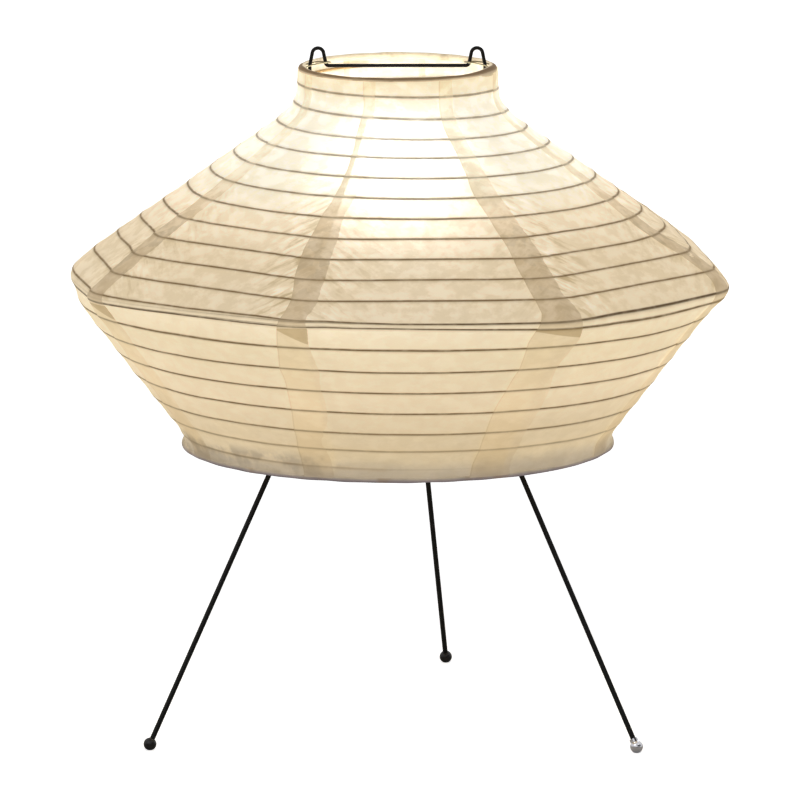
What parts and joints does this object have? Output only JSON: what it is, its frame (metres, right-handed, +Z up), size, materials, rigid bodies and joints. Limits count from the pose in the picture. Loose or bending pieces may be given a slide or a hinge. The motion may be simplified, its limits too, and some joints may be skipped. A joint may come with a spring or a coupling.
{
  "type": "paper lantern table lamp",
  "caption": "Low eight-sided washi lantern with a helical bamboo rib, hung on a wire stretcher over a lampholder and three folding ball-footed wire legs.",
  "frame": {"origin": "point on the table under the middle of the overall box, which is the stem's axis", "axes": "+Z up, -Y towards the front that the picture shows, +X to the right of the picture"},
  "size_m": [0.5066, 0.5066, 0.5266],
  "materials": {
    "washi_paper": "matte",
    "hem_paper": "matte",
    "bamboo": "matte",
    "ring_wire": "satin",
    "black_frame": "satin",
    "brass": "satin",
    "zinc_plate": "satin",
    "black_plastic": "gloss",
    "white_ceramic": "gloss",
    "frosted_glass": "frosted",
    "cap_aluminium": "satin",
    "black_glass": "gloss",
    "black_foot": "gloss",
    "steel_foot": "polished"
  },
  "bodies": {
    "stand": {"stretcher": "black_frame", "strap": "black_frame", "stem": "brass", "upper_nut": "brass", "lower_nut": "brass", "stem_washers": "zinc_plate", "leg_washers": "zinc_plate", "cord_bush": "black_plastic", "holder_cap": "black_plastic", "holder_shell": "black_plastic", "holder_insert": "white_ceramic", "screw_shell": "brass", "centre_contact": "brass", "contact_screws": "brass"},
    "shade": {"washi_panel_1": "washi_paper", "washi_panel_2": "washi_paper", "washi_panel_3": "washi_paper", "washi_panel_4": "washi_paper", "washi_panel_5": "washi_paper", "washi_panel_6": "washi_paper", "washi_panel_7": "washi_paper", "washi_panel_8": "washi_paper", "bamboo_rib": "bamboo", "top_ring": "ring_wire", "bottom_ring": "ring_wire", "top_hem": "hem_paper", "bottom_hem": "hem_paper", "ring_eyes": "black_frame"},
    "bulb": {"bulb_glass": "frosted_glass", "bulb_screw_cap": "cap_aluminium", "bulb_insulator": "black_glass", "bulb_tip": "cap_aluminium"},
    "left_leg": {"leg_left": "black_frame", "foot_left": "black_foot"},
    "right_leg": {"leg_right": "black_frame", "foot_right": "steel_foot"},
    "back_leg": {"leg_back": "black_frame", "foot_back": "black_foot"}
  },
  "joints": [
    {"name": "shade_lift", "type": "slide", "parent": "stand", "child": "shade", "axis": [0, 0, 1], "range_m": [0, 0.33]},
    {"name": "bulb_unscrew", "type": "slide", "parent": "stand", "child": "bulb", "axis": [0, 0, 1], "range_m": [0, 0.028]},
    {"name": "left_leg_swivel", "type": "hinge", "parent": "stand", "child": "left_leg", "pos_m": [0, 0, 0.31], "axis": [0, 0, 1], "range_deg": [-107, 15]},
    {"name": "right_leg_swivel", "type": "hinge", "parent": "stand", "child": "right_leg", "pos_m": [0, 0, 0.31], "axis": [0, 0, 1], "range_deg": [-15, 91]},
    {"name": "back_leg_swivel", "type": "hinge", "parent": "stand", "child": "back_leg", "pos_m": [0, 0, 0.31], "axis": [0, 0, 1], "range_deg": [-15, 15]}
  ]
}
